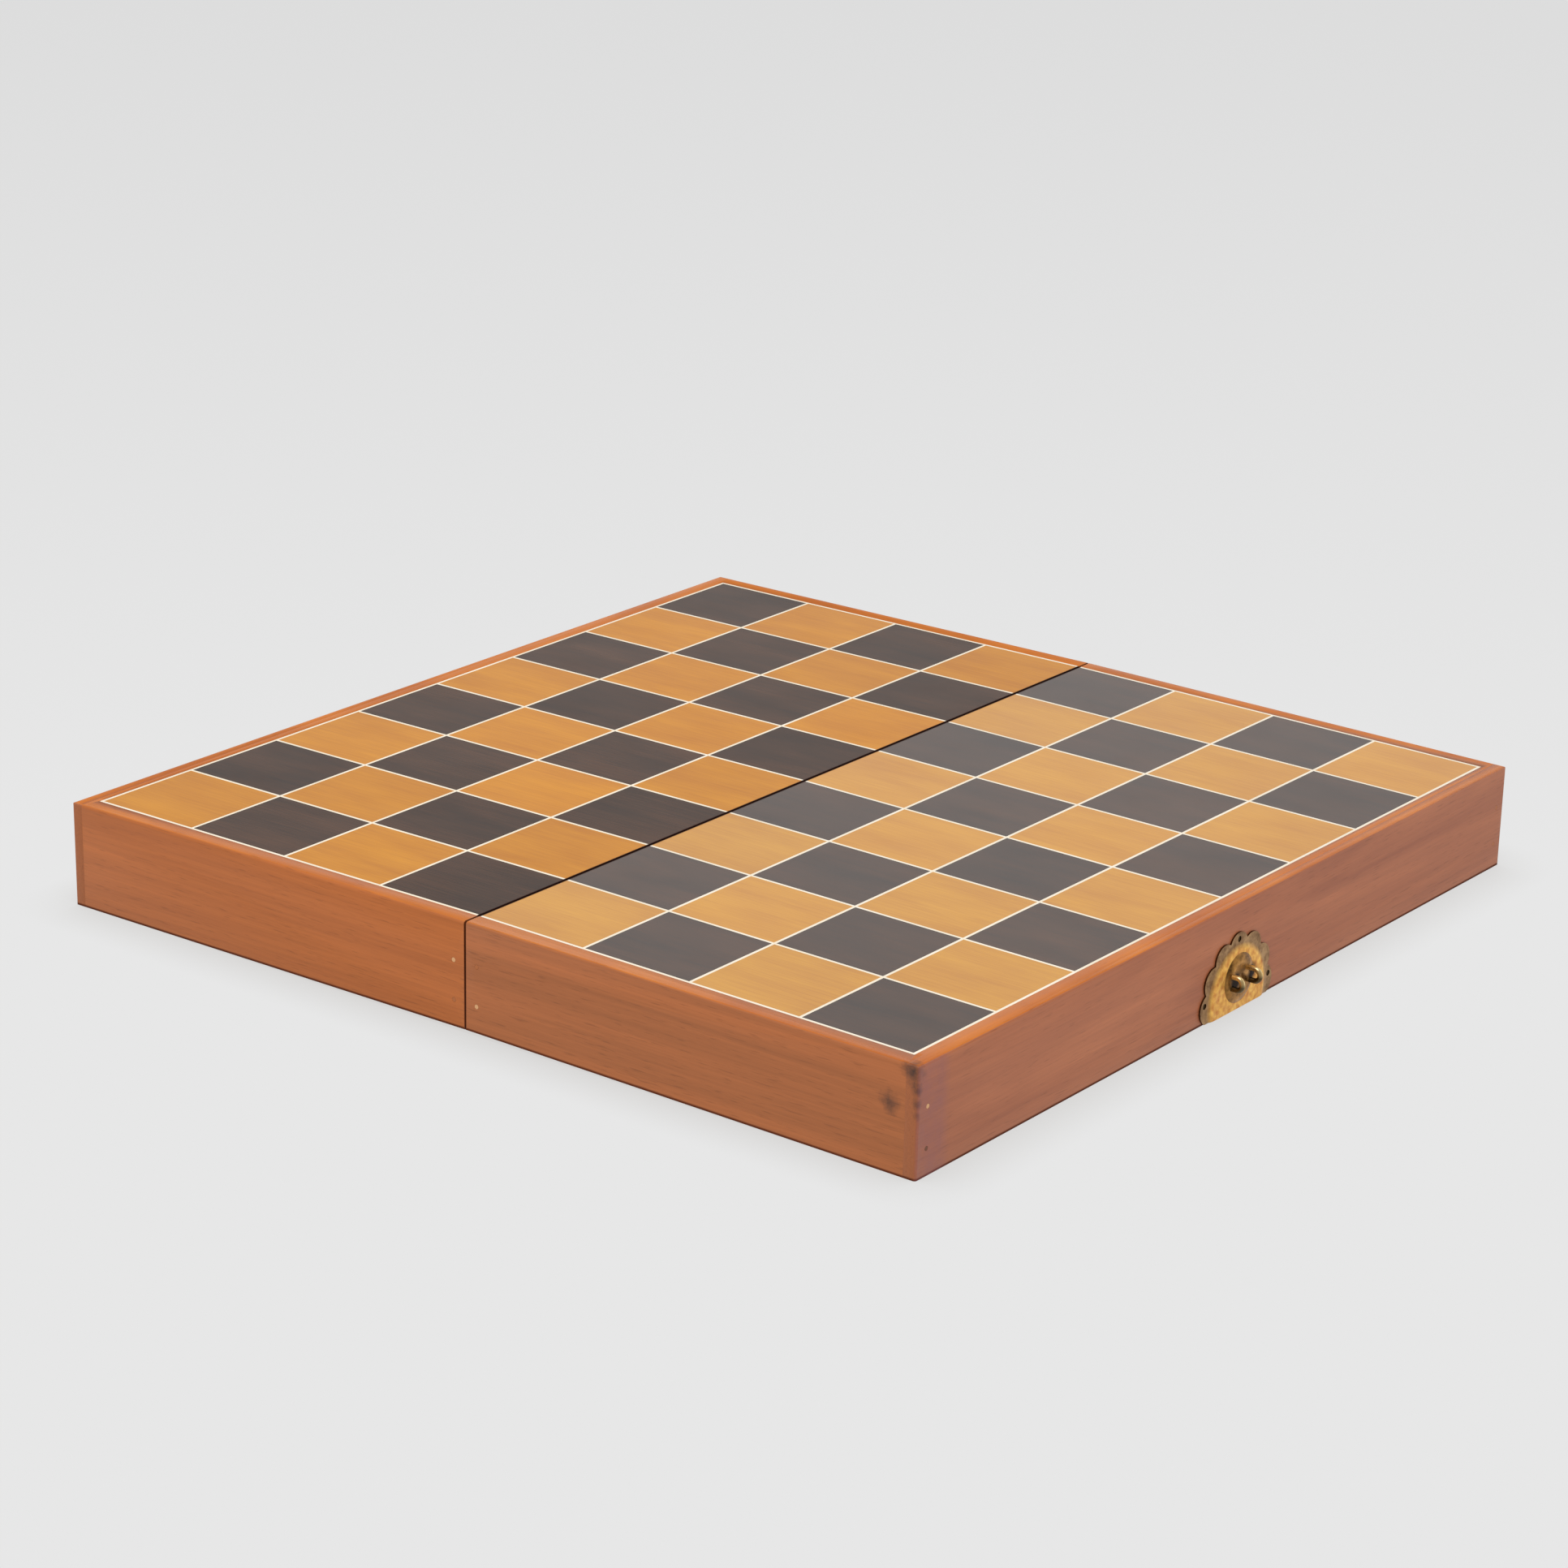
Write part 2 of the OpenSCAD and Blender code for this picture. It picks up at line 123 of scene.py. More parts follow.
def add(tree, kind, inputs=None, **settings):
    """Adds a shader node with its settings. Each input is given a value, or linked to a socket.

    A mix node takes its factor at 0, its two numbers at 2 and 3, and its two colours at 6 and 7.
    """
    made = tree.nodes.new(kind)
    for name, value in settings.items():
        setattr(made, name, value)
    for socket, value in (inputs or {}).items():
        if isinstance(value, bpy.types.NodeSocket):
            tree.links.new(value, made.inputs[socket])
        else:
            made.inputs[socket].default_value = value
    return made


world = bpy.data.worlds.new("studio")
bpy.context.scene.world = world
world.use_nodes = True
sky = world.node_tree
sky.nodes.clear()
ray = add(sky, "ShaderNodeLightPath")
direction = add(sky, "ShaderNodeTexCoord").outputs["Generated"]
behind_box = add(sky, "ShaderNodeVectorMath", {0: direction, 1: backdrop_way}, operation="DOT_PRODUCT")
is_backdrop = add(sky, "ShaderNodeMapRange", {"Value": behind_box.outputs["Value"], **backdrop_fade})
seen_colour = add(sky, "ShaderNodeMix", {0: is_backdrop.outputs[0], 6: linear(room_colour),
                                         7: linear(backdrop_colour)}, data_type="RGBA")
slope = add(sky, "ShaderNodeSeparateXYZ", {0: direction})
height = add(sky, "ShaderNodeMapRange", {"Value": slope.outputs["Z"], "From Min": low_slope,
                                         "From Max": high_slope})
wall = add(sky, "ShaderNodeMix", {0: height.outputs[0], 6: linear(backdrop_colour),
                                  7: linear(backdrop_high_colour)}, data_type="RGBA")
camera_colour = add(sky, "ShaderNodeMix", {0: ray.outputs["Is Camera Ray"], 6: seen_colour.outputs[2],
                                           7: wall.outputs[2]}, data_type="RGBA")
seen = add(sky, "ShaderNodeBackground", {"Color": camera_colour.outputs[2]})
lit = add(sky, "ShaderNodeBackground", {"Color": linear(sky_colour), "Strength": sky_level})
sharp_ray = add(sky, "ShaderNodeMath", {0: ray.outputs["Is Camera Ray"], 1: ray.outputs["Is Glossy Ray"]},
                operation="MAXIMUM")
clear_ray = add(sky, "ShaderNodeMath", {0: sharp_ray.outputs[0], 1: ray.outputs["Is Transmission Ray"]},
                operation="MAXIMUM")
both = add(sky, "ShaderNodeMixShader", {0: clear_ray.outputs[0], 1: lit.outputs[0], 2: seen.outputs[0]})
add(sky, "ShaderNodeOutputWorld", {"Surface": both.outputs[0]})

lamp = bpy.data.objects.new("lamp", bpy.data.lights.new("lamp", "AREA"))
bpy.context.scene.collection.objects.link(lamp)
lamp.data.shape = "SQUARE"
lamp.data.size = lamp_width
lamp.data.energy = lamp_power
lamp.location = lamp_place
lamp.rotation_mode = "QUATERNION"
lamp.rotation_quaternion = (-lamp_place).to_track_quat("-Z", "Y")


# ---- Table ----
# A pale table top. The lid swings down below it when the box is shut, so the table is clear apart
# from the soft shadow where something stands close over it.

table_size = 3.0
shadow_reach = 22 * mm
shadow_colour = "#EBE9E7"
shadow_start = 0.35
shadow_samples = 16

table_mesh = bpy.data.meshes.new("table")
table_shape = bmesh.new()
bmesh.ops.create_grid(table_shape, x_segments=1, y_segments=1, size=table_size / 2)
table_shape.to_mesh(table_mesh)
table_shape.free()
table = bpy.data.objects.new("table", table_mesh)
bpy.context.scene.collection.objects.link(table)

# clear, so that the eye sees only the backdrop and a thin grey shadow under the rims
table_top = bpy.data.materials.new("clear_table_top")
table_top.use_nodes = True
tree = table_top.node_tree
tree.nodes.clear()
openness = add(tree, "ShaderNodeAmbientOcclusion", {"Distance": shadow_reach},
               samples=shadow_samples)
side = add(tree, "ShaderNodeNewGeometry")
open_or_under = add(tree, "ShaderNodeMath", {0: openness.outputs["AO"], 1: side.outputs["Backfacing"]},
                    operation="MAXIMUM")
tint = add(tree, "ShaderNodeMapRange", {"Value": open_or_under.outputs[0], "From Min": shadow_start,
                                        "From Max": 1.0})
shadow = add(tree, "ShaderNodeMix", {0: tint.outputs[0], 6: linear(shadow_colour), 7: (1, 1, 1, 1)},
             data_type="RGBA")
clear = add(tree, "ShaderNodeBsdfTransparent", {"Color": shadow.outputs[2]})
add(tree, "ShaderNodeOutputMaterial", {"Surface": clear.outputs[0]})
table_mesh.materials.append(table_top)


# ---- Rosewood boards ----
# Four boards make the wall of each tray: an end board with a lip over the ends of two side boards,
# and a hinge board between them. They are straight-grained reddish hardwood, planed, eased along
# the edges and varnished. The varnish is thicker and more amber on top. Painted shade darkens the
# rims, where they meet the table, and the seam between the trays.

# Varnished rosewood: long soft streaks with short dark pores between them, an even satin shine on
# the sides, and a smoother amber top. Real pores are 0.1 to 0.2 mm wide, too fine to show, so they
# are drawn wider. The tones are those of the light streaks, the dark streaks and the end grain.
lid_side_tones = ("#BC6A30", "#A95D29", "#A45B2C")
base_side_tones = ("#B4693A", "#A05E34", "#A05E34")
end_tones = ("#B46C46", "#9A583A", "#A05C33")
side_streak, end_streak = (320 * mm, 9 * mm), (150 * mm, 16 * mm)
streak_noise = {"Scale": 1.0, "Detail": 4.0, "Roughness": 0.6, "Distortion": 0.5}
streak_range = {"From Min": 0.34, "From Max": 0.68}
fibre_len, fibre_width = 45 * mm, 0.8 * mm
fibre_noise = {"Scale": 1.0, "Detail": 3.0, "Roughness": 0.65}
fibre_shade = {"From Min": 0.3, "From Max": 0.7, "To Min": 1.07, "To Max": 0.92}
pore_len, pore_width = 7 * mm, 0.42 * mm
pore_noise = {"Scale": 1.0, "Detail": 1.0, "Roughness": 0.5}
pore_shade = {"From Min": 0.62, "From Max": 0.74, "To Min": 1.0, "To Max": 0.78}
pore_roughness = 0.12
grain_depth, grain_strength = 0.06 * mm, 0.5

# how far a face has to turn to count as end grain, or as the top under its amber varnish
end_turn = {"From Min": 0.5, "From Max": 0.9}
top_turn = {"From Min": 0.75, "From Max": 0.98}
amber_tones = ("#B5611F", "#CA7426")
amber_cloud = 45 * mm
amber_noise = {"Scale": 1 / amber_cloud, "Detail": 2.0}
amber_range = {"From Min": 0.35, "From Max": 0.65}
side_roughness, top_roughness = 0.42, 0.26
side_shine, top_shine = 0.36, 0.12

# painted shade on the rims that stand on the table, a brown contact shadow: weaker underneath
# than beside it, and matt
rim_shade_colour = "#5E2C16"
rim_shade_height = 1.0 * mm
rim_shade_core = 0.5 * rim_shade_height
under_rim = {"From Min": -0.9, "From Max": -0.4, "To Min": 0.3}
shade_line_roughness, shade_line_shine = 0.7, 0.1

# the same painted shade in the seam, up to this far from the hinge line
seam_shade_reach = 0.6 * mm
seam_shade_core = 0.5 * seam_shade_reach

# Sharp edges are eased where they are this many times longer than the ease is wide. Points closer
# than this part of its width are joined first.
ease_width = 0.3 * mm
long_edge_times = 8
weld_part = 100
ease_rings = 2
sharp_angle = math.radians(30)
flat_angle = math.radians(1)

# where the rims stand, and how far each open tray leans
lean = math.asin(-frame["record"]["mounts"][0]["axis"][0])
rim_height = frame["record"]["mounts"][0]["pos_m"][2]
near_corner = Vector((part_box("base_end_board")[1].x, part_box("base_end_board")[0].y,
                      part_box("base_end_board")[1].z))

# dirt rubbed into the near corner: its place, its reach and how dark it gets
dirt_places = [(near_corner + Vector((-2, 0, -2)) * mm, 6 * mm, 0.95),
               (near_corner + Vector((0, 0, -8)) * mm, 3.6 * mm, 0.9),
               (near_corner + Vector((0, 0, -12)) * mm, 3 * mm, 0.9),
               (near_corner + Vector((0, 0, -16)) * mm, 2.6 * mm, 0.8),
               (near_corner + Vector((-10, 0, -14)) * mm, 5.5 * mm, 0.75)]
dirt_colour = "#2E2624"
dirt_noise = {"Scale": 1 / (4 * mm), "Detail": 4.0, "Roughness": 0.7}
dirt_raggedness, dirt_core, dirt_rim = 1.4, 0.6, 1.5

# heartwood at the near end of the base's end board: where it starts, and how strong it is
heart_edge, heart_blur = -160.7 * mm, 2.5 * mm
heart_colour, heart_strength = "#8A565A", 0.38
mottle_noise = {"Scale": 1 / (5 * mm), "Detail": 4.0, "Roughness": 0.7}
mottle_gain = 2.0


def grain_space(tree, along, sizes, start):
    """Object coordinates turned so that x runs along the grain, in units of the pattern's sizes."""
    turn = {"X": (0, 0, 0), "Y": (0, 0, math.pi / 2)}[along]
    place = add(tree, "ShaderNodeTexCoord").outputs["Object"]
    turned = add(tree, "ShaderNodeMapping", {"Vector": place, "Rotation": turn, "Location": start})
    length, width = sizes
    return add(tree, "ShaderNodeMapping", {"Vector": turned.outputs[0],
                                           "Scale": (1 / length, 1 / width, 1 / width)}).outputs[0]


def rosewood(name, along, tones, start, dirt=(), streak_size=side_streak):
    """Reddish hardwood, grain along X or Y, amber on top, with painted shade at the rim and seam."""
    made = bpy.data.materials.new(name)
    made.use_nodes = True
    tree = made.node_tree
    surface = tree.nodes["Principled BSDF"]
    streaks = add(tree, "ShaderNodeTexNoise", {
        "Vector": grain_space(tree, along, streak_size, start), **streak_noise})
    fibres = add(tree, "ShaderNodeTexNoise", {
        "Vector": grain_space(tree, along, (fibre_len, fibre_width), start), **fibre_noise})
    pores = add(tree, "ShaderNodeTexNoise", {
        "Vector": grain_space(tree, along, (pore_len, pore_width), start), **pore_noise})
    streak = add(tree, "ShaderNodeMapRange", {"Value": streaks.outputs[0], **streak_range})
    wood = add(tree, "ShaderNodeMix", {0: streak.outputs[0], 6: linear(tones[0]), 7: linear(tones[1])},
               data_type="RGBA")
    fibre = add(tree, "ShaderNodeMapRange", {"Value": fibres.outputs[0], **fibre_shade})
    pore = add(tree, "ShaderNodeMapRange", {"Value": pores.outputs[0], **pore_shade})
    # end grain where the surface faces along the grain, and amber where it faces up
    facing = add(tree, "ShaderNodeSeparateXYZ", {0: add(tree, "ShaderNodeTexCoord").outputs["Normal"]})
    lengthwise = add(tree, "ShaderNodeMath", {0: facing.outputs[along]}, operation="ABSOLUTE")
    is_end = add(tree, "ShaderNodeMapRange", {"Value": lengthwise.outputs[0], **end_turn})
    ended = add(tree, "ShaderNodeMix", {0: is_end.outputs[0], 6: wood.outputs[2], 7: linear(tones[2])},
                data_type="RGBA")
    is_top = add(tree, "ShaderNodeMapRange", {"Value": facing.outputs["Z"], **top_turn})
    space = add(tree, "ShaderNodeTexCoord").outputs["Object"]
    clouds = add(tree, "ShaderNodeTexNoise", {"Vector": space, **amber_noise})
    cloud = add(tree, "ShaderNodeMapRange", {"Value": clouds.outputs[0], **amber_range})
    amber = add(tree, "ShaderNodeMix", {0: cloud.outputs[0], 6: linear(amber_tones[0]),
                                        7: linear(amber_tones[1])}, data_type="RGBA")
    topped = add(tree, "ShaderNodeMix", {0: is_top.outputs[0], 6: ended.outputs[2], 7: amber.outputs[2]},
                 data_type="RGBA")
    shade = add(tree, "ShaderNodeMath", {0: fibre.outputs[0], 1: pore.outputs[0]}, operation="MULTIPLY")
    colour = add(tree, "ShaderNodeVectorMath", {0: topped.outputs[2], "Scale": shade.outputs[0]},
                 operation="SCALE").outputs[0]
    # the rims rise towards the hinge line, because the open trays lean
    spot = add(tree, "ShaderNodeSeparateXYZ", {0: space})
    from_hinge = add(tree, "ShaderNodeMath", {0: spot.outputs["X"]}, operation="ABSOLUTE")
    over_rim = add(tree, "ShaderNodeMath", {0: from_hinge.outputs[0], 1: math.tan(lean),
                                            2: spot.outputs["Z"]}, operation="MULTIPLY_ADD")
    at_rim = add(tree, "ShaderNodeMapRange", {
        "Value": over_rim.outputs[0], "From Min": rim_height + rim_shade_core,
        "From Max": rim_height + rim_shade_height, "To Min": 1.0, "To Max": 0.0})
    beside = add(tree, "ShaderNodeMapRange", {"Value": facing.outputs["Z"], **under_rim})
    rim_and_seam_shade = add(tree, "ShaderNodeMath", {0: at_rim.outputs[0], 1: beside.outputs[0]},
                    operation="MULTIPLY")
    at_seam = add(tree, "ShaderNodeMapRange", {"Value": from_hinge.outputs[0], "From Min": seam_shade_reach,
                                               "From Max": seam_shade_core})
    rim_and_seam_shade = add(tree, "ShaderNodeMath", {0: rim_and_seam_shade.outputs[0], 1: at_seam.outputs[0]},
                    operation="MAXIMUM")
    # painted shade: a contact shadow along the rims, and the dark of the seam
    colour = add(tree, "ShaderNodeMix", {0: rim_and_seam_shade.outputs[0], 6: colour, 7: linear(rim_shade_colour)},
                 data_type="RGBA").outputs[2]
    for place, reach, strength in dirt:
        away = add(tree, "ShaderNodeVectorMath", {0: space, 1: place}, operation="DISTANCE")
        ragged = add(tree, "ShaderNodeTexNoise", {"Vector": space, **dirt_noise})
        ragged_away = add(tree, "ShaderNodeMath", {0: ragged.outputs[0], 1: dirt_raggedness * reach,
                                                   2: away.outputs["Value"]}, operation="MULTIPLY_ADD")
        rubbed = add(tree, "ShaderNodeMapRange", {
            "Value": ragged_away.outputs[0], "From Min": dirt_core * reach, "From Max": dirt_rim * reach,
            "To Min": strength, "To Max": 0.0})
        colour = add(tree, "ShaderNodeMix", {0: rubbed.outputs[0], 6: colour, 7: linear(dirt_colour)},
                     data_type="RGBA").outputs[2]
    tree.links.new(colour, surface.inputs["Base Color"])
    gloss = add(tree, "ShaderNodeMapRange", {"Value": is_top.outputs[0], "To Min": side_roughness,
                                             "To Max": top_roughness})
    rough = add(tree, "ShaderNodeMath", {0: pore.outputs[0], 1: -pore_roughness, 2: gloss.outputs[0]},
                operation="MULTIPLY_ADD")
    rough = add(tree, "ShaderNodeMath", {0: rough.outputs[0], 1: pore_roughness}, operation="ADD")
    rough = add(tree, "ShaderNodeMix", {0: rim_and_seam_shade.outputs[0], 2: rough.outputs[0], 3: shade_line_roughness})
    tree.links.new(rough.outputs[0], surface.inputs["Roughness"])
    shine = add(tree, "ShaderNodeMapRange", {"Value": is_top.outputs[0], "To Min": side_shine,
                                             "To Max": top_shine})
    shine = add(tree, "ShaderNodeMix", {0: rim_and_seam_shade.outputs[0], 2: shine.outputs[0], 3: shade_line_shine})
    tree.links.new(shine.outputs[0], surface.inputs["Specular IOR Level"])
    relief = add(tree, "ShaderNodeMath", {0: pore.outputs[0], 1: fibre.outputs[0]}, operation="SUBTRACT")
    bump = add(tree, "ShaderNodeBump", {"Height": relief.outputs[0], "Distance": grain_depth,
                                        "Strength": grain_strength})
    tree.links.new(bump.outputs[0], surface.inputs["Normal"])
    return made


def eased(cad_name, piece_name, width, material):
    """A copy of a CAD piece with its long sharp edges taken off, which stands for that piece."""
    source = frame["nodes"][cad_name]
    shape = bmesh.new()
    shape.from_mesh(source.data)
    bmesh.ops.remove_doubles(shape, verts=shape.verts, dist=width / weld_part)
    bmesh.ops.dissolve_limit(shape, angle_limit=flat_angle, verts=shape.verts, edges=shape.edges)
    long_edges = [e for e in shape.edges if len(e.link_faces) == 2
                  and e.calc_length() > long_edge_times * width and e.calc_face_angle() > sharp_angle]
    bmesh.ops.bevel(shape, geom=long_edges, offset=width, offset_type="OFFSET", segments=ease_rings,
                    profile=0.5, affect="EDGES", clamp_overlap=True, material=-1)
    mesh = bpy.data.meshes.new(piece_name)
    shape.to_mesh(mesh)
    shape.free()
    mesh.shade_smooth()
    mesh.set_sharp_from_angle(angle=sharp_angle)
    piece = bpy.data.objects.new(piece_name, mesh)
    bpy.context.scene.collection.objects.link(piece)
    mesh.materials.append(material)
    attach(piece, source["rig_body"])
    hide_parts(cad_name)
    return piece


def finish_node(name, material):
    """Gives a CAD piece its material."""
    mesh = frame["nodes"][name].data
    mesh.materials.clear()
    mesh.materials.append(material)


# each board's grain, its tones, where in the wood it is cut from, and its dirt
board_woods = {
    "base_end_board": ("Y", end_tones, (0.0, 0.0, 0.0), dirt_places),
    "base_front_board": ("X", base_side_tones, (0.31, 0.05, 0.0), dirt_places),
    "base_back_board": ("X", base_side_tones, (0.74, 0.11, 0.0), ()),
    "base_hinge_board": ("Y", base_side_tones, (1.37, 0.02, 0.0), ()),
    "lid_end_board": ("Y", end_tones, (2.11, 0.07, 0.0), ()),
    "lid_front_board": ("X", lid_side_tones, (3.02, 0.03, 0.0), ()),
    "lid_back_board": ("X", lid_side_tones, (4.26, 0.09, 0.0), ()),
    "lid_hinge_board": ("Y", lid_side_tones, (5.19, 0.04, 0.0), ()),
}
boards = {}
for name, (along, tones, start, dirt) in board_woods.items():
    streak_size = end_streak if tones == end_tones else side_streak
    wood = rosewood("varnished_rosewood_" + name, along, tones, start, dirt, streak_size)
    boards[name] = eased(name, name + "_varnished", ease_width, wood)

# the near end of the base's end board is heartwood, which shows as a purplish mottle
tree = boards["base_end_board"].data.materials[0].node_tree
surface = tree.nodes["Principled BSDF"]
spot = add(tree, "ShaderNodeSeparateXYZ", {0: add(tree, "ShaderNodeTexCoord").outputs["Object"]})
facing = add(tree, "ShaderNodeSeparateXYZ", {0: add(tree, "ShaderNodeTexCoord").outputs["Normal"]})
in_heart = add(tree, "ShaderNodeMapRange", {
    "Value": spot.outputs["Y"], "From Min": heart_edge + heart_blur, "From Max": heart_edge - heart_blur,
    "To Max": heart_strength})
mottle = add(tree, "ShaderNodeTexNoise", {"Vector": add(tree, "ShaderNodeTexCoord").outputs["Object"],
                                          **mottle_noise})
in_heart = add(tree, "ShaderNodeMath", {0: in_heart.outputs[0], 1: mottle.outputs[0]},
               operation="MULTIPLY")
in_heart = add(tree, "ShaderNodeMath", {0: in_heart.outputs[0], 1: mottle_gain}, operation="MULTIPLY")
on_face = add(tree, "ShaderNodeMath", {0: in_heart.outputs[0], 1: facing.outputs["X"]},
              operation="MULTIPLY", use_clamp=True)
wood_colour = surface.inputs["Base Color"].links[0].from_socket
colour = add(tree, "ShaderNodeMix", {0: on_face.outputs[0], 6: wood_colour, 7: linear(heart_colour)},
             data_type="RGBA")
tree.links.new(colour.outputs[2], surface.inputs["Base Color"])


# ---- Corner pins ----
# Two thin bamboo pins go through each corner joint, driven in with glue and cut flush. Three are
# pale dots on the near faces and one is dark, and stain gives the others the board's tone.

pin_pale, pin_dark, pin_stained = "#D2A070", "#6E3E22", "#A86234"
odd_pins = [(Vector((-4.7, -175, 23.5)) * mm, pin_pale), (Vector((4.7, -175, 10)) * mm, pin_pale),
            (Vector((175, -170, 22.5)) * mm, pin_pale), (Vector((175, -170, 10)) * mm, pin_dark)]
pin_reach = 6 * mm
pin_roughness, pin_shine = 0.42, 0.36

# bamboo cut flush and varnished with the board: an even tone without grain and a satin shine
bamboo = bpy.data.materials.new("flush_cut_bamboo")
bamboo.use_nodes = True
tree = bamboo.node_tree
surface = tree.nodes["Principled BSDF"]
place = add(tree, "ShaderNodeTexCoord").outputs["Object"]
colour = linear(pin_stained)
for pin, tone in odd_pins:
    away = add(tree, "ShaderNodeVectorMath", {0: place, 1: pin}, operation="DISTANCE")
    is_odd = add(tree, "ShaderNodeMath", {0: away.outputs["Value"], 1: pin_reach}, operation="LESS_THAN")
    colour = add(tree, "ShaderNodeMix", {0: is_odd.outputs[0], 6: colour, 7: linear(tone)},
                 data_type="RGBA").outputs[2]
tree.links.new(colour, surface.inputs["Base Color"])
surface.inputs["Roughness"].default_value = pin_roughness
surface.inputs["Specular IOR Level"].default_value = pin_shine
for tray in ("base", "lid"):
    finish_node(tray + "_corner_pins", bamboo)


# ---- Panels ----
# A thin board of plain planed wood lies in the rebate of each tray, under the squares. Only its
# edge shows, in the seam.

panel_tones = ("#A8703F", "#8F5C33", "#7C4B28")
panel_cut = (6.3, 0.0, 0.0)

# planed wood without varnish: the same straight streaks, less red than the boards
plain_wood = rosewood("planed_panel_wood", "Y", panel_tones, panel_cut)
for tray in ("base", "lid"):
    finish_node(tray + "_panel", plain_wood)


# ---- Squares ----
# Sixteen light and sixteen dark veneer squares are glued to each panel, scraped level and
# lacquered until they mirror. The lacquer has turned amber over the light ones, and it is clearer
# on the lid than on the base. The light squares of the lid are a deeper amber, which is a painted
# reflection of amber chessmen.

# Lacquered veneer: fine straight fibres over soft clouds under a smooth coat, which mirrors the
# pale studio as a haze. The fibres are drawn wider than real ones, which are too fine to show. Each
# square is cut anywhere within a metre of wood, and the contrast is how much lighter or darker than
# the tones it may be.
square = 42 * mm
square_cell = (square, square, 1.0)
cut_spread = (1.0, 1.0, 1.0)
# the lid's light tones are deeper: a painted reflection of amber chessmen
light_tones = {"base": ("#D4972A", "#C08022"), "lid": ("#D08B1E", "#BA751A")}
dark_tones = ("#4E3220", "#2E1E14")
light_contrast, dark_contrast = 0.05, 0.12
veneer_fibre_len, veneer_fibre_width = 24 * mm, 0.55 * mm
veneer_fibre_noise = {"Scale": 1.0, "Detail": 3.0, "Roughness": 0.6}
figure_len, figure_width = 50 * mm, 100 * mm / 7
figure_noise = {"Scale": 1.0, "Detail": 3.0}
figure_range = {"From Min": 0.7, "From Max": 1.3}
lacquer_wear = 30 * mm
wear_noise = {"Scale": 1 / lacquer_wear, "Detail": 3.0}
lacquer_roughness = {"From Min": 0.35, "From Max": 0.65, "To Min": 0.13, "To Max": 0.24}
lacquer_shine = {"base": 0.43, "lid": 0.09}
ripple_size = 100 * mm / 9
ripple_noise = {"Scale": 1 / ripple_size, "Detail": 2.0}
fibre_telegraph = 0.25
lacquer_depth, lacquer_strength = 0.02 * mm, 0.35
# painted shade along the seam between the halves: its colour, its width and its darkest part
seam_line_shade = "#2E120A"
seam_line_shade_width = 1.0 * mm
seam_line_shade_core = 0.6 * seam_line_shade_width


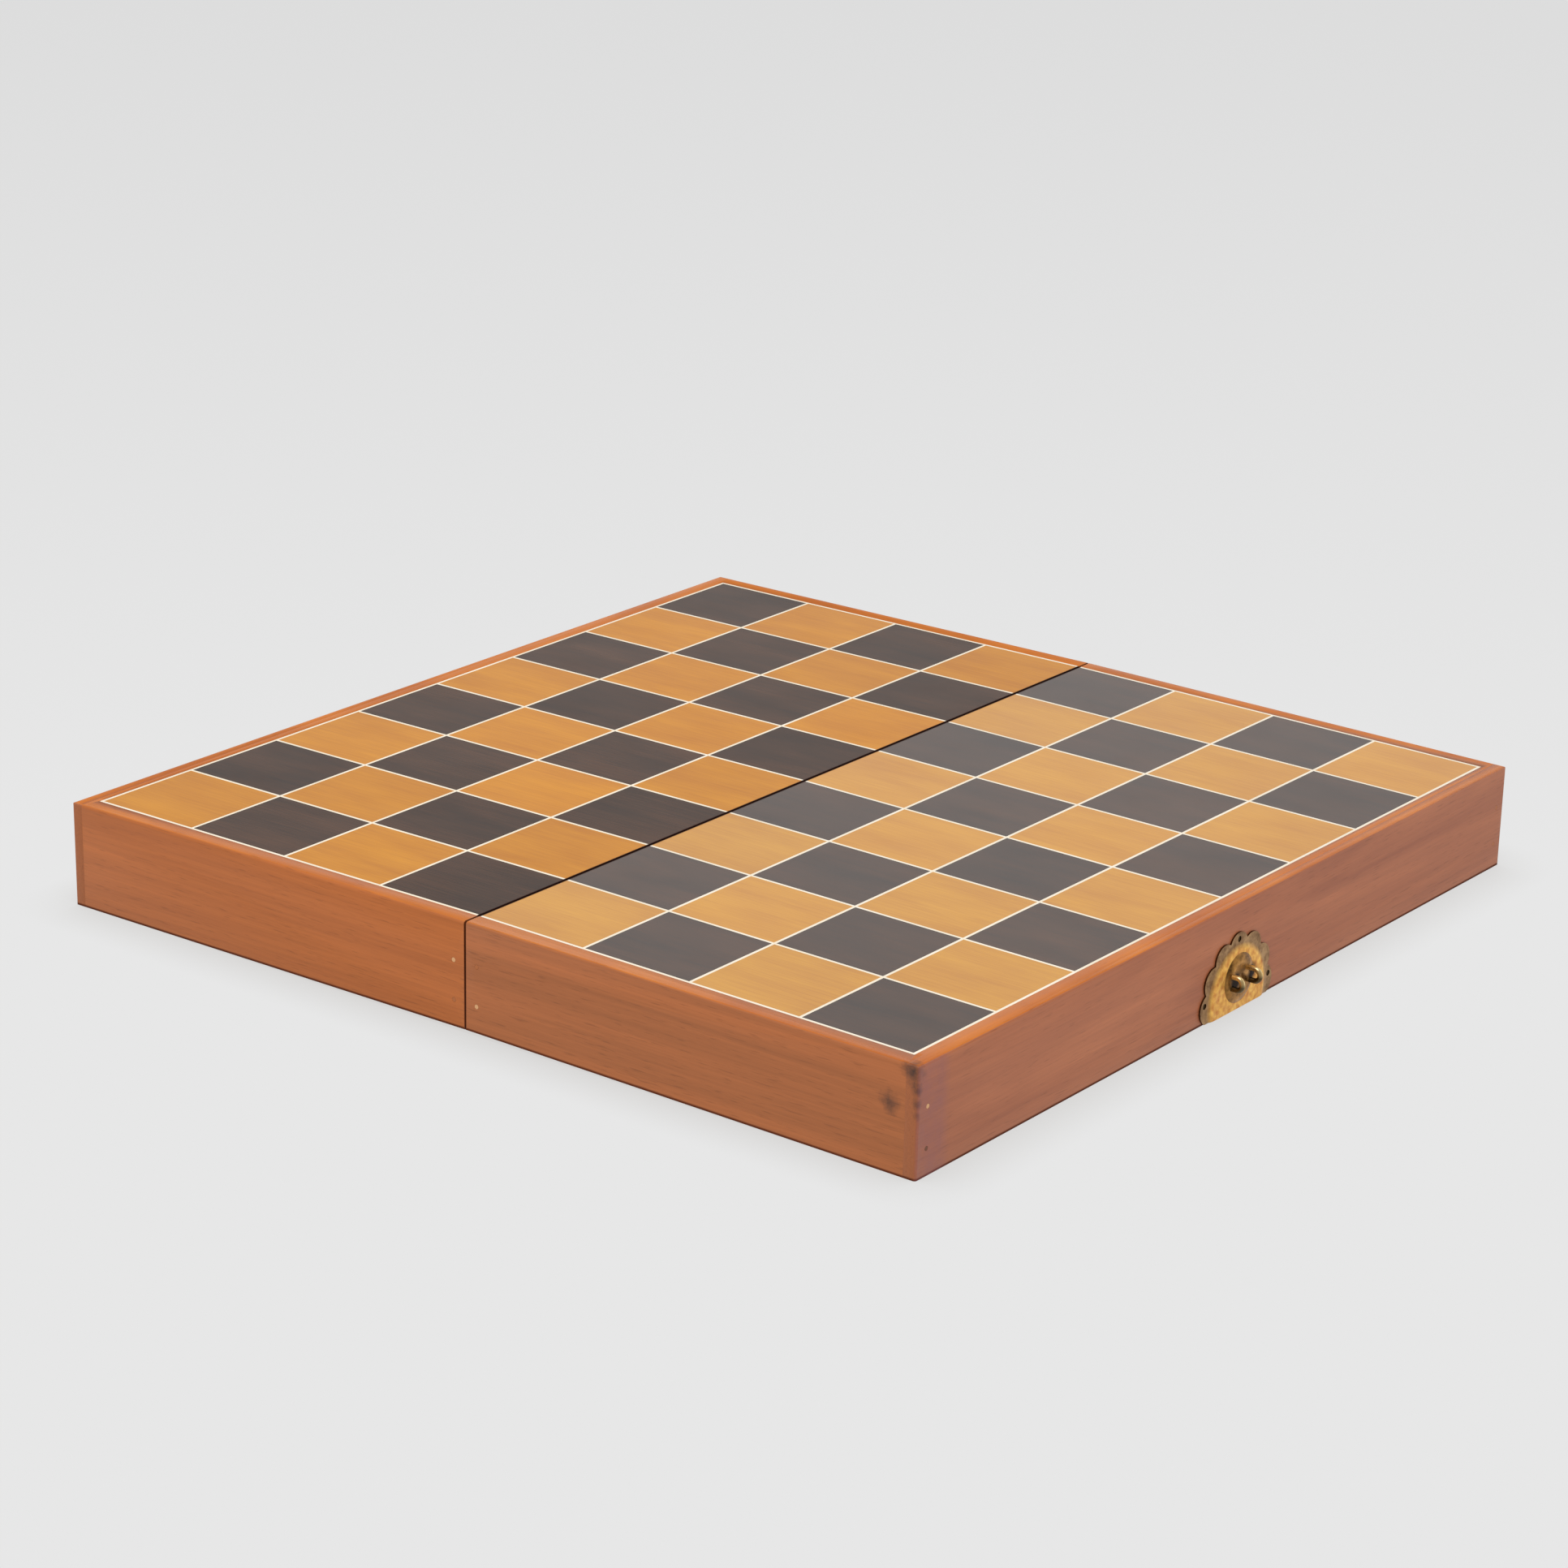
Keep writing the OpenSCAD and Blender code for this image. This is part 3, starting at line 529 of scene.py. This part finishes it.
def veneer(name, tones, contrast, lacquer):
    """Lacquered veneer. Each square is cut from another place, so its tone and grain are its own."""
    made = bpy.data.materials.new(name)
    made.use_nodes = True
    tree = made.node_tree
    surface = tree.nodes["Principled BSDF"]
    place = add(tree, "ShaderNodeTexCoord").outputs["Object"]
    cell = add(tree, "ShaderNodeVectorMath", {0: place, 1: square_cell}, operation="SNAP")
    chance = add(tree, "ShaderNodeTexWhiteNoise", {"Vector": cell.outputs[0]})
    moved = add(tree, "ShaderNodeVectorMath", {0: chance.outputs["Color"], 1: cut_spread, 2: place},
                operation="MULTIPLY_ADD")
    fibre_space = add(tree, "ShaderNodeMapping", {
        "Vector": moved.outputs[0],
        "Scale": (1 / veneer_fibre_len, 1 / veneer_fibre_width, 1 / veneer_fibre_width)})
    fibres = add(tree, "ShaderNodeTexNoise", {"Vector": fibre_space.outputs[0], **veneer_fibre_noise})
    cloud_space = add(tree, "ShaderNodeMapping", {
        "Vector": moved.outputs[0], "Scale": (1 / figure_len, 1 / figure_width, 1 / figure_width)})
    clouds = add(tree, "ShaderNodeTexNoise", {"Vector": cloud_space.outputs[0], **figure_noise})
    figure = add(tree, "ShaderNodeMath", {0: fibres.outputs[0], 1: clouds.outputs[0]}, operation="ADD")
    streak = add(tree, "ShaderNodeMapRange", {"Value": figure.outputs[0], **figure_range})
    wood = add(tree, "ShaderNodeMix", {0: streak.outputs[0], 6: linear(tones[0]), 7: linear(tones[1])},
               data_type="RGBA")
    level = add(tree, "ShaderNodeMapRange", {"Value": chance.outputs["Value"], "To Min": 1 - contrast,
                                             "To Max": 1 + contrast})
    colour = add(tree, "ShaderNodeVectorMath", {0: wood.outputs[2], "Scale": level.outputs[0]},
                 operation="SCALE")
    spot = add(tree, "ShaderNodeSeparateXYZ", {0: place})
    # painted shade on the squares next to the seam
    from_seam = add(tree, "ShaderNodeMath", {0: spot.outputs["X"]}, operation="ABSOLUTE")
    at_seam = add(tree, "ShaderNodeMapRange", {"Value": from_seam.outputs[0], "From Min": seam_line_shade_width,
                                               "From Max": seam_line_shade_core})
    seam_shaded = add(tree, "ShaderNodeMix", {0: at_seam.outputs[0], 6: colour.outputs[0],
                                         7: linear(seam_line_shade)}, data_type="RGBA")
    tree.links.new(seam_shaded.outputs[2], surface.inputs["Base Color"])
    worn = add(tree, "ShaderNodeTexNoise", {"Vector": place, **wear_noise})
    rough = add(tree, "ShaderNodeMapRange", {"Value": worn.outputs[0], **lacquer_roughness})
    rough = add(tree, "ShaderNodeMix", {0: at_seam.outputs[0], 2: rough.outputs[0], 3: shade_line_roughness})
    tree.links.new(rough.outputs[0], surface.inputs["Roughness"])
    shine = add(tree, "ShaderNodeMapRange", {"Value": at_seam.outputs[0], "To Min": lacquer,
                                             "To Max": shade_line_shine})
    tree.links.new(shine.outputs[0], surface.inputs["Specular IOR Level"])
    ripple = add(tree, "ShaderNodeTexNoise", {"Vector": place, **ripple_noise})
    height = add(tree, "ShaderNodeMath", {0: fibres.outputs[0], 1: fibre_telegraph, 2: ripple.outputs[0]},
                 operation="MULTIPLY_ADD")
    bump = add(tree, "ShaderNodeBump", {"Height": height.outputs[0], "Distance": lacquer_depth,
                                        "Strength": lacquer_strength})
    tree.links.new(bump.outputs[0], surface.inputs["Normal"])
    return made


for tray, lacquer in lacquer_shine.items():
    light_wood = veneer(tray + "_lacquered_light_veneer", light_tones[tray], light_contrast, lacquer)
    finish_node(tray + "_light_squares", light_wood)
    dark_wood = veneer(tray + "_lacquered_dark_veneer", dark_tones, dark_contrast, lacquer)
    finish_node(tray + "_dark_squares", dark_wood)


# ---- Lines ----
# Narrow strips of white wood are let in between the squares and round three sides of each half,
# under the same lacquer, which has yellowed them a little.

# lacquered white wood: an almost even cream that mirrors as the squares beside it do
line_tones = ("#F6EEDD", "#E9DCC2")
line_contrast = 0.02

for tray, lacquer in lacquer_shine.items():
    white_wood = veneer(tray + "_lacquered_white_inlay", line_tones, line_contrast, lacquer)
    finish_node(tray + "_lines", white_wood)


# ---- Linings ----
# Green baize is glued under each panel before the dividers go in. They press it flat along their
# edges, and it stands up a little between them.

baize_puff = 0.35 * mm
baize_step = 2.2 * mm
press_width = 3 * mm
baize_thick = 0.3 * mm

# Woven wool baize, felted over: a matt mottled green with a short nap and a faint sheen. Its nap is
# drawn several times coarser than real wool, so that it shows.
baize_tones = ("#3C5C48", "#2C4736")
nap_size = 0.9 * mm
nap_noise = {"Scale": 1 / nap_size, "Detail": 3.0, "Roughness": 0.7}
nap_height, nap_strength = 0.3 * mm, 0.6
baize_roughness, baize_sheen = 0.95, 0.3

hinge_pin = Vector(frame["joints"][0]["pos_m"])
tray_places = {"base": Matrix.Translation(hinge_pin) @ Matrix.Rotation(lean, 4, "Y")}
tray_places["lid"] = Matrix.Rotation(math.pi, 4, "Z") @ tray_places["base"]

baize = bpy.data.materials.new("felted_baize")
baize.use_nodes = True
tree = baize.node_tree
place = add(tree, "ShaderNodeTexCoord").outputs["Object"]
nap = add(tree, "ShaderNodeTexNoise", {"Vector": place, **nap_noise})
felted = add(tree, "ShaderNodeMix", {0: nap.outputs[0], 6: linear(baize_tones[0]),
                                     7: linear(baize_tones[1])}, data_type="RGBA")
surface = tree.nodes["Principled BSDF"]
tree.links.new(felted.outputs[2], surface.inputs["Base Color"])
surface.inputs["Roughness"].default_value = baize_roughness
surface.inputs["Sheen Weight"].default_value = baize_sheen
bump = add(tree, "ShaderNodeBump", {"Height": nap.outputs[0], "Distance": nap_height,
                                    "Strength": nap_strength})
tree.links.new(bump.outputs[0], surface.inputs["Normal"])

# each cloth is drawn in the box of the CAD lining, seen square to its own leaning tray
for tray, place in tray_places.items():
    to_tray = place.inverted()
    cloth_corners = [to_tray @ v.co for v in frame["nodes"][tray + "_lining"].data.vertices]
    low = Vector([min(c[i] for c in cloth_corners) for i in range(3)])
    high = Vector([max(c[i] for c in cloth_corners) for i in range(3)])
    cells = []
    for opening in frame["record"]["physics"]["openings"]:
        if opening["name"].startswith(tray):
            ends = [to_tray @ Vector(p) for p in opening["box_m"]]
            cells.append([(min(e[i] for e in ends), max(e[i] for e in ends)) for i in (0, 1)])
    shape = bmesh.new()
    size = high - low
    bmesh.ops.create_grid(shape, x_segments=round(size.x / baize_step),
                          y_segments=round(size.y / baize_step), size=0.5)
    bmesh.ops.scale(shape, vec=(size.x, size.y, 1), verts=shape.verts)
    middle = ((low.x + high.x) / 2, (low.y + high.y) / 2, low.z)
    bmesh.ops.translate(shape, vec=middle, verts=shape.verts)
    for vertex in shape.verts:
        for (x0, x1), (y0, y1) in cells:
            inside = min(vertex.co.x - x0, x1 - vertex.co.x, vertex.co.y - y0, y1 - vertex.co.y)
            if inside > 0:
                vertex.co.z -= baize_puff * (1 - math.exp(-inside / press_width))
    bmesh.ops.reverse_faces(shape, faces=shape.faces)
    bmesh.ops.transform(shape, matrix=place, verts=shape.verts)
    mesh = bpy.data.meshes.new(tray + "_baize")
    shape.to_mesh(mesh)
    shape.free()
    mesh.shade_smooth()
    mesh.materials.append(baize)
    cloth = bpy.data.objects.new(tray + "_baize", mesh)
    bpy.context.scene.collection.objects.link(cloth)
    thicken = cloth.modifiers.new("thickness", "SOLIDIFY")
    thicken.thickness = baize_thick
    thicken.offset = -1
    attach(cloth, tray)
    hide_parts(tray + "_lining")


# ---- Dividers ----
# Thin strips of the same hardwood, left unvarnished, make sixteen compartments in each tray. One
# long strip runs along the hinge line and short ones stand on both sides of it.

# sanded rosewood: the same grain, paler and drier than the varnished boards
divider_tones = ("#C08A5C", "#A97649", "#9A6840")
divider_ease = 0.25 * mm
grain_step = 0.37  # between the places in the wood that the strips are cut from

for tray in ("base", "lid"):
    for run, along in (("long_divider", "Y"), ("piece_dividers", "X"), ("pawn_dividers", "X")):
        name = tray + "_" + run
        start = (len(name) * grain_step, 0.0, 0.0)
        wood = rosewood("sanded_rosewood_" + name, along, divider_tones, start)
        eased(name, name + "_sanded", divider_ease, wood)


# ---- Hinges ----
# Two small brass butt hinges join the hinge boards at the rims. Their leaves are let in and
# screwed, and a headed steel pin goes through the knuckles.

# Old metal: patches of tarnish that are darker and less shiny than what is rubbed clean, and fine
# scratches along it, drawn several times wider than real ones so that they show. The roughness is
# that of the clean parts.
tarnish_size = 3.5 * mm
tarnish_noise = {"Scale": 1 / tarnish_size, "Detail": 5.0, "Roughness": 0.65}
tarnish_range = {"From Min": 0.38, "From Max": 0.66}
tarnish_roughness = 0.2
scratch_len, scratch_width = 9 * mm, 0.12 * mm
scratch_noise = {"Scale": 1.0, "Detail": 2.0}
scratch_share = 0.15
metal_relief, metal_strength = 0.1 * mm, 0.4

# rolled brass leaves with a dull glow, brighter turned screws and grey drawn pins
brass_tones, brass_roughness = ("#B8924F", "#7E6238"), 0.3
screw_tones, screw_roughness = ("#C9A45C", "#8A6C3C"), 0.25
steel_tones, steel_roughness = ("#8D8983", "#6A665F"), 0.35


def old_metal(name, tones, roughness):
    """Brass or steel with patches of tarnish and fine rubbing scratches."""
    made = bpy.data.materials.new(name)
    made.use_nodes = True
    tree = made.node_tree
    surface = tree.nodes["Principled BSDF"]
    place = add(tree, "ShaderNodeTexCoord").outputs["Object"]
    patches = add(tree, "ShaderNodeTexNoise", {"Vector": place, **tarnish_noise})
    dull = add(tree, "ShaderNodeMapRange", {"Value": patches.outputs[0], **tarnish_range})
    colour = add(tree, "ShaderNodeMix", {0: dull.outputs[0], 6: linear(tones[0]), 7: linear(tones[1])},
                 data_type="RGBA")
    tree.links.new(colour.outputs[2], surface.inputs["Base Color"])
    surface.inputs["Metallic"].default_value = 1.0
    rough = add(tree, "ShaderNodeMapRange", {"Value": dull.outputs[0], "To Min": roughness,
                                             "To Max": roughness + tarnish_roughness})
    tree.links.new(rough.outputs[0], surface.inputs["Roughness"])
    rubbed = add(tree, "ShaderNodeMapping", {"Vector": place, "Scale": (
        1 / scratch_width, 1 / scratch_len, 1 / scratch_width)})
    scratches = add(tree, "ShaderNodeTexNoise", {"Vector": rubbed.outputs[0], **scratch_noise})
    height = add(tree, "ShaderNodeMath", {0: scratches.outputs[0], 1: scratch_share,
                                          2: patches.outputs[0]}, operation="MULTIPLY_ADD")
    bump = add(tree, "ShaderNodeBump", {"Height": height.outputs[0], "Distance": metal_relief,
                                        "Strength": metal_strength})
    tree.links.new(bump.outputs[0], surface.inputs["Normal"])
    return made


hinge_brass = old_metal("rolled_hinge_brass", brass_tones, brass_roughness)
screw_brass = old_metal("turned_screw_brass", screw_tones, screw_roughness)
pin_steel = old_metal("drawn_pin_steel", steel_tones, steel_roughness)
for tray in ("base", "lid"):
    finish_node(tray + "_hinge_leaves", hinge_brass)
    finish_node(tray + "_hinge_screws", screw_brass)
finish_node("hinge_pins", pin_steel)


# ---- Lock plates ----
# A scalloped half rosette of pressed brass is nailed to each end board at the rim. Its raised
# middle is rubbed bright, and its lobes are dull.

plate_ease = 0.15 * mm
rosette_radius = 21.5 * mm
rosette_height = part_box("lock_plate")[1].z - rosette_radius

# Pressed brass: dull brown lobes round a field rubbed bright gold, with painted shade on its
# edges. Some old lacquer is left on the field, so it isn't all bare metal.
lobe_tones, lobe_roughness = ("#BA9468", "#8C6A4A"), 0.38
field_tones = ("#FFC962", "#CE8036")
field_metal = 0.55
field_radius = 17 * mm
field_fade = {"From Min": field_radius + 0.6 * mm, "From Max": field_radius - 1.5 * mm}
field_wear_noise = {"Scale": 1 / (2.2 * mm), "Detail": 4.0}
field_wear_range = {"From Min": 0.35, "From Max": 0.7}
# painted shade on the plate's edges
plate_edge_shade = "#58391F"
edge_turn = {"From Min": 0.75, "From Max": 0.4}

# drawn brass nails gone brown, which show as dark dots
nail_tones, nail_roughness = ("#6E5636", "#46361F"), 0.45

# painted shade, near black, round the feet of the staples, more of it on their far side
staple_shade_colour = "#24140A"
staple_gap = 10.7 * mm
staple_height = (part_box("lock_staples")[0].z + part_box("lock_staples")[1].z) / 2
foot_shade_reach = 4.6 * mm
foot_shade_shift = 1.8 * mm
foot_shade_noise = {"Scale": 1 / (1.6 * mm), "Detail": 3.0}
foot_shade_raggedness = 0.5 * foot_shade_reach
foot_shade_rim, foot_shade_core = 1.1 * foot_shade_reach, 0.65 * foot_shade_reach
foot_shade_roughness = 0.9


def shade_staple_feet(made):
    """Paints near-black shade on a metal round the feet of the two staples, which stand beside each
    other.
    """
    tree = made.node_tree
    surface = tree.nodes["Principled BSDF"]
    place = add(tree, "ShaderNodeTexCoord").outputs["Object"]
    spot = add(tree, "ShaderNodeSeparateXYZ", {0: place})
    aside = add(tree, "ShaderNodeMath", {0: spot.outputs["Y"], 1: foot_shade_shift}, operation="SUBTRACT")
    aside = add(tree, "ShaderNodeMath", {0: aside.outputs[0]}, operation="ABSOLUTE")
    aside = add(tree, "ShaderNodeMath", {0: aside.outputs[0], 1: staple_gap / 2}, operation="SUBTRACT")
    above = add(tree, "ShaderNodeMath", {0: spot.outputs["Z"], 1: staple_height}, operation="SUBTRACT")
    off_foot = add(tree, "ShaderNodeCombineXYZ", {0: aside.outputs[0], 1: above.outputs[0]})
    away = add(tree, "ShaderNodeVectorMath", {0: off_foot.outputs[0]}, operation="LENGTH")
    ragged = add(tree, "ShaderNodeTexNoise", {"Vector": place, **foot_shade_noise})
    ragged_away = add(tree, "ShaderNodeMath", {0: ragged.outputs[0], 1: foot_shade_raggedness,
                                               2: away.outputs["Value"]}, operation="MULTIPLY_ADD")
    near = add(tree, "ShaderNodeMapRange", {"Value": ragged_away.outputs[0], "From Min": foot_shade_rim,
                                            "From Max": foot_shade_core})
    lock_end = add(tree, "ShaderNodeMath", {0: spot.outputs["X"], 1: 0.0}, operation="GREATER_THAN")
    in_painted_shade = add(tree, "ShaderNodeMath", {0: near.outputs[0], 1: lock_end.outputs[0]},
                operation="MULTIPLY").outputs[0]
    metal = surface.inputs["Metallic"]
    metal = metal.links[0].from_socket if metal.links else metal.default_value
    colour = add(tree, "ShaderNodeMix", {0: in_painted_shade, 6: surface.inputs["Base Color"].links[0].from_socket,
                                         7: linear(staple_shade_colour)}, data_type="RGBA")
    bare = add(tree, "ShaderNodeMix", {0: in_painted_shade, 2: metal, 3: 0.0})
    rough = add(tree, "ShaderNodeMix", {0: in_painted_shade, 2: surface.inputs["Roughness"].links[0].from_socket,
                                        3: foot_shade_roughness})
    tree.links.new(colour.outputs[2], surface.inputs["Base Color"])
    tree.links.new(bare.outputs[0], surface.inputs["Metallic"])
    tree.links.new(rough.outputs[0], surface.inputs["Roughness"])


def plate_brass(name):
    """Pressed brass, bright on the raised field and dull on the lobes round it."""
    made = old_metal(name, lobe_tones, lobe_roughness)
    tree = made.node_tree
    surface = tree.nodes["Principled BSDF"]
    place = add(tree, "ShaderNodeTexCoord").outputs["Object"]
    on_face = add(tree, "ShaderNodeVectorMath", {0: place, 1: (0, 1, 1)}, operation="MULTIPLY")
    away = add(tree, "ShaderNodeVectorMath", {0: on_face.outputs[0], 1: (0, 0, rosette_height)},
               operation="DISTANCE")
    is_field = add(tree, "ShaderNodeMapRange", {"Value": away.outputs["Value"], **field_fade})
    wear = add(tree, "ShaderNodeTexNoise", {"Vector": place, **field_wear_noise})
    worn = add(tree, "ShaderNodeMapRange", {"Value": wear.outputs[0], **field_wear_range})
    field = add(tree, "ShaderNodeMix", {0: worn.outputs[0], 6: linear(field_tones[0]),
                                        7: linear(field_tones[1])}, data_type="RGBA")
    lobes = surface.inputs["Base Color"].links[0].from_socket
    colour = add(tree, "ShaderNodeMix", {0: is_field.outputs[0], 6: lobes, 7: field.outputs[2]},
                 data_type="RGBA")
    # painted shade on the edges of the plate
    facing = add(tree, "ShaderNodeSeparateXYZ", {0: add(tree, "ShaderNodeTexCoord").outputs["Normal"]})
    outward = add(tree, "ShaderNodeMath", {0: facing.outputs["X"]}, operation="ABSOLUTE")
    is_edge = add(tree, "ShaderNodeMapRange", {"Value": outward.outputs[0], **edge_turn})
    edge_shaded = add(tree, "ShaderNodeMix", {0: is_edge.outputs[0], 6: colour.outputs[2],
                                        7: linear(plate_edge_shade)}, data_type="RGBA")
    tree.links.new(edge_shaded.outputs[2], surface.inputs["Base Color"])
    metal = add(tree, "ShaderNodeMapRange", {"Value": is_field.outputs[0], "To Min": 1.0,
                                             "To Max": field_metal})
    tree.links.new(metal.outputs[0], surface.inputs["Metallic"])
    return made


pressed_brass = plate_brass("pressed_plate_brass")
# painted shade round the staple feet on the lock plate
shade_staple_feet(pressed_brass)
eased("lock_plate", "lock_plate_pressed", plate_ease, pressed_brass)
eased("hasp_plate", "hasp_plate_pressed", plate_ease, pressed_brass)
nail_brass = old_metal("drawn_nail_brass", nail_tones, nail_roughness)
finish_node("lock_plate_nails", nail_brass)
finish_node("hasp_plate_nails", nail_brass)


# ---- Boss and staples ----
# A turned brass boss is held against the lock plate by two hairpin staples of round wire, whose
# legs go through the plate into the wood.

# turned brass, smooth enough to mirror the pale studio on its crown and the wood beside it
boss_tones, boss_roughness = ("#C48E4C", "#6A4A28"), 0.22

# drawn brass wire, pale and bright on top, with painted shade darkening it underneath
wire_tones, wire_roughness = ("#FFE8B0", "#E8C078"), 0.24
wire_underside_shade = {"From Min": staple_height + 0.8 * mm, "From Max": staple_height - 0.6 * mm, "To Max": 0.85}

boss_brass = old_metal("turned_boss_brass", boss_tones, boss_roughness)
# painted shade round the staple feet on the boss
shade_staple_feet(boss_brass)
finish_node("lock_boss", boss_brass)

wire = old_metal("drawn_staple_brass", wire_tones, wire_roughness)
tree = wire.node_tree
surface = tree.nodes["Principled BSDF"]
spot = add(tree, "ShaderNodeSeparateXYZ", {0: add(tree, "ShaderNodeTexCoord").outputs["Object"]})
# painted shade over the lower half of the staples' wire
in_painted_shade = add(tree, "ShaderNodeMapRange", {"Value": spot.outputs["Z"], **wire_underside_shade})
bright = surface.inputs["Base Color"].links[0].from_socket
colour = add(tree, "ShaderNodeMix", {0: in_painted_shade.outputs[0], 6: bright, 7: linear(staple_shade_colour)},
             data_type="RGBA")
tree.links.new(colour.outputs[2], surface.inputs["Base Color"])
finish_node("lock_staples", wire)


# ---- Hasp ----
# The hasp is cut from thick brass sheet, with a slot for each staple, and swings on a steel pin
# between the knuckles of its plate.

# cut and filed sheet brass, cleaner and warmer than the plates, because hands polish it
hasp_tones, hasp_roughness = ("#E2AC62", "#9A703E"), 0.3

hasp_brass = old_metal("filed_hasp_brass", hasp_tones, hasp_roughness)
eased("hasp", "hasp_brass", plate_ease, hasp_brass)
finish_node("hasp_pin", pin_steel)
